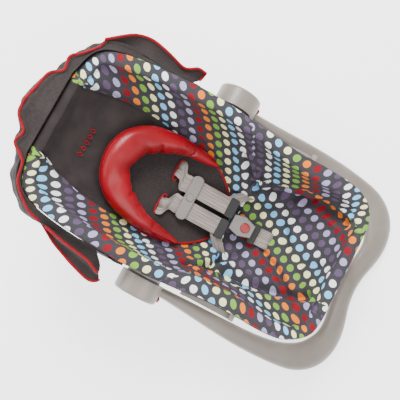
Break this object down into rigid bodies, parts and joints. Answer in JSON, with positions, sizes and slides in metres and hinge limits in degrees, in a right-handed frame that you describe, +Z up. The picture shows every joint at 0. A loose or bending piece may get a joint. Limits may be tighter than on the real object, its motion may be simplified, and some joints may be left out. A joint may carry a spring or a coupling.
{
  "type": "infant car seat",
  "caption": "reclined infant carrier seat with a swing-down carry handle, folded hood, padded cover, crescent head pillow and buckled harness",
  "frame": {"origin": "centre of the overall footprint, on the ground the two runners rest on", "axes": "+X from the head end to the foot end, +Y to the left of the child, +Z up"},
  "size_m": [0.7637, 0.4484, 0.3376],
  "materials": {
    "shell_plastic": "fine matt grain",
    "handle_plastic": "fine matt grain",
    "dotted_cover": "printed jersey with rows of round dots",
    "insert_fabric": "knitted jersey with a red piped edge",
    "red_satin": "satin",
    "hood_fabric": "woven cloth with a red piped edge",
    "webbing": "ribbed polyester webbing",
    "harness_plastic": "satin",
    "dark_plastic": "satin",
    "red_plastic": "semi gloss",
    "steel": "zinc plated",
    "ring_plastic": "matt"
  },
  "bodies": {
    "shell": {"seat_shell": "shell_plastic", "seat_pad": "dotted_cover", "body_insert": "insert_fabric", "head_pillow": "red_satin", "shoulder_strap_left": "webbing", "shoulder_strap_right": "webbing", "hip_strap_left": "webbing", "hip_strap_right": "webbing", "crotch_strap": "webbing", "buckle_housing": "dark_plastic", "buckle_face": "harness_plastic", "buckle_spring": "steel", "buckle_tongue_left": "dark_plastic", "buckle_tongue_right": "dark_plastic", "harness_yoke": "steel", "adjuster_strap": "webbing", "adjuster_housing": "steel", "crotch_anchor": "steel", "hip_anchor_left": "steel", "hip_anchor_right": "steel", "lock_ring_left": "ring_plastic", "lock_ring_right": "ring_plastic", "pivot_bolt_left": "steel", "pivot_bolt_right": "steel", "hood_rear_fabric": "hood_fabric", "hood_pin_left": "steel", "hood_pin_right": "steel"},
    "handle": {"handle_frame": "handle_plastic", "handle_lower_cover": "handle_plastic", "handle_screws": "steel", "hub_cover_left": "handle_plastic", "hub_cover_right": "handle_plastic", "button_spring_left": "steel", "button_spring_right": "steel"},
    "release_left": {"release_button_left": "red_plastic", "locking_pawl_left": "steel"},
    "release_right": {"release_button_right": "red_plastic", "locking_pawl_right": "steel"},
    "hood": {"hood_bow": "steel", "hood_front_fabric": "hood_fabric"},
    "chest_clip": {"chest_clip_left": "harness_plastic", "chest_clip_right": "harness_plastic"},
    "chest_release": {"chest_clip_release": "harness_plastic"},
    "buckle_release": {"buckle_button": "red_plastic"},
    "adjuster": {"adjuster_lever": "steel"}
  },
  "joints": [
    {"name": "handle_pivot", "type": "hinge", "parent": "shell", "child": "handle", "pos_m": [-0.05535, 0, 0.232], "axis": [0, -1, 0], "range_deg": [0, 225]},
    {"name": "release_button_left", "type": "slide", "parent": "handle", "child": "release_left", "axis": [-0.8889, 0, 0.458], "range_m": [0, 0.004], "stiffness_N_per_m": 700, "springref_m": -0.004, "deforming": ["button_spring_left"]},
    {"name": "release_button_right", "type": "slide", "parent": "handle", "child": "release_right", "axis": [-0.8889, 0, 0.458], "range_m": [0, 0.004], "stiffness_N_per_m": 700, "springref_m": -0.004, "deforming": ["button_spring_right"]},
    {"name": "hood_pivot", "type": "hinge", "parent": "shell", "child": "hood", "pos_m": [-0.11335, 0, 0.259], "axis": [0, 1, 0], "range_deg": [0, 100]},
    {"name": "chest_clip_slide", "type": "slide", "parent": "shell", "child": "chest_clip", "axis": [0.9724, 0, -0.2335], "range_m": [-0.006, 0.06]},
    {"name": "chest_clip_press", "type": "slide", "parent": "chest_clip", "child": "chest_release", "axis": [-0.2335, 0, -0.9724], "range_m": [0, 0.0014], "stiffness_N_per_m": 400, "springref_m": -0.003},
    {"name": "buckle_press", "type": "slide", "parent": "shell", "child": "buckle_release", "axis": [-0.2335, 0, -0.9724], "range_m": [0, 0.003], "stiffness_N_per_m": 600, "springref_m": -0.004, "deforming": ["buckle_spring"]},
    {"name": "adjuster_cam", "type": "hinge", "parent": "shell", "child": "adjuster", "pos_m": [0.23745, 0, 0.11556], "axis": [0, -1, 0], "range_deg": [0, 14], "stiffness_Nm_per_rad": 0.25, "springref_deg": -17.19}
  ]
}
